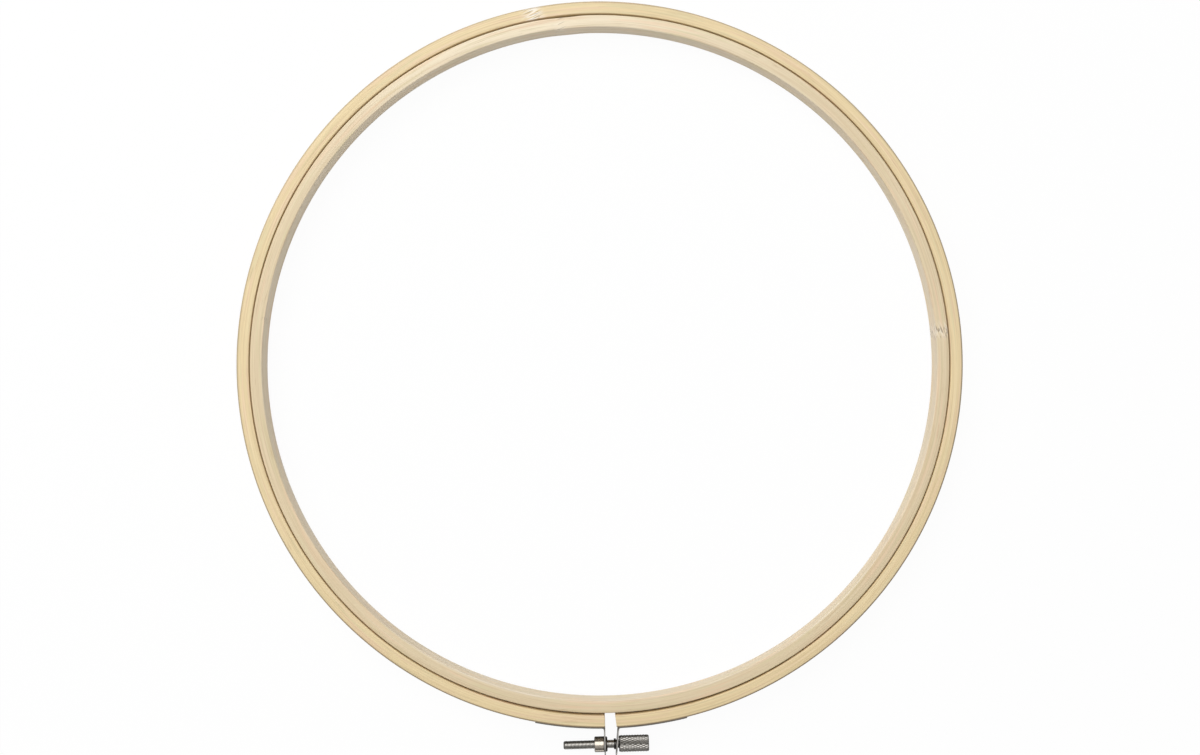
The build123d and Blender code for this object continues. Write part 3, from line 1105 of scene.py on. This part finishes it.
class HOOP_OT_inner_ring(HoopOperator, bpy.types.Operator):
    """Bend the closed inner ring"""

    bl_idname = "hoop.inner_ring"
    bl_label = "Inner Ring"

    def make(self, rings, hardware, finish):
        ring = make_inner_ring()
        remember_rest(ring)
        coat_with(ring, bamboo("inner_bamboo", finish.inner_wood, INNER_JOINTS, INNER_SPECKS,
                               BLEACHED_DEG, rings.inner_radius - rings.wall))
        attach(ring, "inner_hoop")
        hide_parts("inner_ring")


class HOOP_OT_outer_ring(HoopOperator, bpy.types.Operator):
    """Bend, split and drill the outer ring"""

    bl_idname = "hoop.outer_ring"
    bl_label = "Outer Ring"

    def make(self, rings, hardware, finish):
        ring = make_outer_ring()
        remember_rest(ring)
        coat_with(ring, bamboo("outer_bamboo", finish.outer_wood, OUTER_JOINTS, OUTER_SPECKS))
        flex_with_nut_end(ring)
        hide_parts("outer_ring")


class HOOP_OT_brackets(HoopOperator, bpy.types.Operator):
    """Bend the two sheet-metal brackets"""

    bl_idname = "hoop.brackets"
    bl_label = "Brackets"

    def make(self, rings, hardware, finish):
        steel = plate("bracket_nickel", finish.nickel, 0.25)
        for name, ear, hole, side, body, node in (
            ("knob_side_sheet", knob_ear(), hardware.rod + hardware.clearance, 1,
             "outer_frame", "knob_side_bracket"),
            ("nut_side_sheet", nut_ear(), hardware.nut_neck + hardware.seat, -1,
             "nut_end", "nut_side_bracket"),
        ):
            bracket = make_bracket(name, ear, hole, side)
            coat_with(bracket, steel)
            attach(bracket, body)
            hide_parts(node)


class HOOP_OT_rivets(HoopOperator, bpy.types.Operator):
    """Turn the two rivets"""

    bl_idname = "hoop.rivets"
    bl_label = "Rivets"

    def make(self, rings, hardware, finish):
        steel = plate("rivet_nickel", finish.nickel, 0.35)
        for name, axis, body, node in zip(
            ("knob_side_pin", "nut_side_pin"), rivet_axes(), ("outer_frame", "nut_end"),
            ("knob_side_rivet", "nut_side_rivet"),
        ):
            rivet = make_rivet(name, axis)
            coat_with(rivet, steel)
            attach(rivet, body)
            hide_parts(node)


class HOOP_OT_nut(HoopOperator, bpy.types.Operator):
    """Turn the barrel nut"""

    bl_idname = "hoop.nut"
    bl_label = "Barrel Nut"

    def make(self, rings, hardware, finish):
        nut = make_nut()
        shoulder = NUT[0].x + hardware.nut_length
        # Stretch of the nut that gets painted shade inside its ear.
        shaded_stretch = (shoulder - 0.25 * MM, NUT[1].x)
        coat_with(nut, lathed("nut_nickel", finish.warm_nickel, 0.30, shaded_stretch))
        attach(nut, "nut_end")
        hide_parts("barrel_nut")


class HOOP_OT_screw(HoopOperator, bpy.types.Operator):
    """Cut the screw's thread and turn its collar"""

    bl_idname = "hoop.screw"
    bl_label = "Screw"

    def make(self, rings, hardware, finish):
        screw = make_screw()
        thread = (hardware.rod - hardware.thread_depth, hardware.rod)
        collar = hardware.collar_place
        # Stretch from the collar to the knob that gets painted shade between the ears.
        shaded_stretch = (collar - 1.1 * hardware.collar_width, KNOB[0].x + MM)
        coat_with(screw, lathed("screw_nickel", finish.nickel, 0.25, shaded_stretch, thread))
        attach(screw, "thumbscrew")
        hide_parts("threaded_rod")


class HOOP_OT_knob(HoopOperator, bpy.types.Operator):
    """Knurl the knob"""

    bl_idname = "hoop.knob"
    bl_label = "Knob"

    def make(self, rings, hardware, finish):
        knob = make_knob()
        crest = (KNOB[1].y - KNOB[0].y) / 2
        knurl = (crest - 0.30 * MM, crest - 0.11 * MM)
        # Inner end of the knob that gets painted shade beside its ear.
        shaded_stretch = (KNOB[0].x, KNOB[0].x + 0.3 * MM)
        coat_with(knob, lathed("knob_nickel", finish.nickel, 0.3, shaded_stretch, knurl, rough=0.14))
        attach(knob, "thumbscrew")
        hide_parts("knurled_knob")


class HOOP_OT_stage(HoopOperator, bpy.types.Operator):
    """Set the floor, the lamps and the camera"""

    bl_idname = "hoop.stage"
    bl_label = "Stage"

    def make(self, rings, hardware, finish):
        stage = bpy.context.scene.hoop_stage
        make_floor()
        make_world()
        for name, power, size, place in LAMPS:
            add_lamp(name, getattr(stage, power), size, place, (0, 0, rings.height))
        for card in CARDS:
            hang_card(*card)
        lay_shade_cards()
        make_camera()
        bpy.context.scene.view_settings.view_transform = "Standard"


OPERATORS = (HOOP_OT_inner_ring, HOOP_OT_outer_ring, HOOP_OT_brackets, HOOP_OT_rivets,
             HOOP_OT_nut, HOOP_OT_screw, HOOP_OT_knob, HOOP_OT_stage)


class HOOP_PT_panel(bpy.types.Panel):
    """Sizes, colours and pieces of the hoop"""

    bl_label = "Embroidery Hoop"
    bl_idname = "HOOP_PT_panel"
    bl_space_type = "VIEW_3D"
    bl_region_type = "UI"
    bl_category = "Hoop"

    def draw(self, context):
        for group in GROUPS:
            box = self.layout.box()
            settings = getattr(context.scene, group)
            for key in settings.__annotations__:
                box.prop(settings, key)
        for operator in OPERATORS:
            self.layout.operator(operator.bl_idname)


def register():
    for part in (*GROUPS.values(), *OPERATORS, HOOP_PT_panel):
        bpy.utils.register_class(part)
    for name, group in GROUPS.items():
        setattr(bpy.types.Scene, name, PointerProperty(type=group))


def unregister():
    for name in GROUPS:
        delattr(bpy.types.Scene, name)
    for part in reversed((*GROUPS.values(), *OPERATORS, HOOP_PT_panel)):
        bpy.utils.unregister_class(part)


def main():
    register()
    bpy.ops.hoop.inner_ring()
    bpy.ops.hoop.outer_ring()
    bpy.ops.hoop.brackets()
    bpy.ops.hoop.rivets()
    bpy.ops.hoop.nut()
    bpy.ops.hoop.screw()
    bpy.ops.hoop.knob()
    bpy.ops.hoop.stage()


if __name__ == "__main__":
    main()
